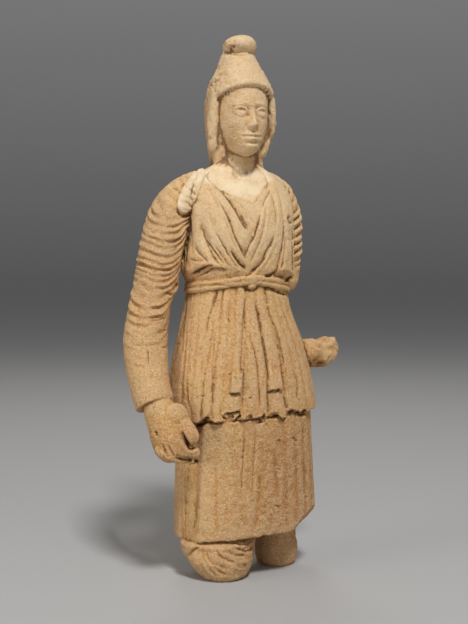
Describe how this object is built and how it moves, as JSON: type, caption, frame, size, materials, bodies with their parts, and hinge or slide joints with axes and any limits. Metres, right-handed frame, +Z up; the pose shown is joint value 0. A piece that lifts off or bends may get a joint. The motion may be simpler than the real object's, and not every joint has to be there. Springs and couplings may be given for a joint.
{
  "type": "limestone statue",
  "caption": "Standing figure in a tall soft cap and a belted, pleated dress, carved from a single block of limestone, with the lower legs and the left forearm broken off; it stands by its own weight.",
  "frame": {"origin": "centre of the overall box in plan, on the plane that the two leg stumps stand on", "axes": "+Z up along the figure, +X towards the figure's own left, the figure faces -Y"},
  "size_m": [0.5251, 0.2616, 1.2784],
  "materials": {
    "limestone": "matt, pitted and weathered"
  },
  "bodies": {
    "root": {"statue": "limestone"}
  },
  "joints": []
}
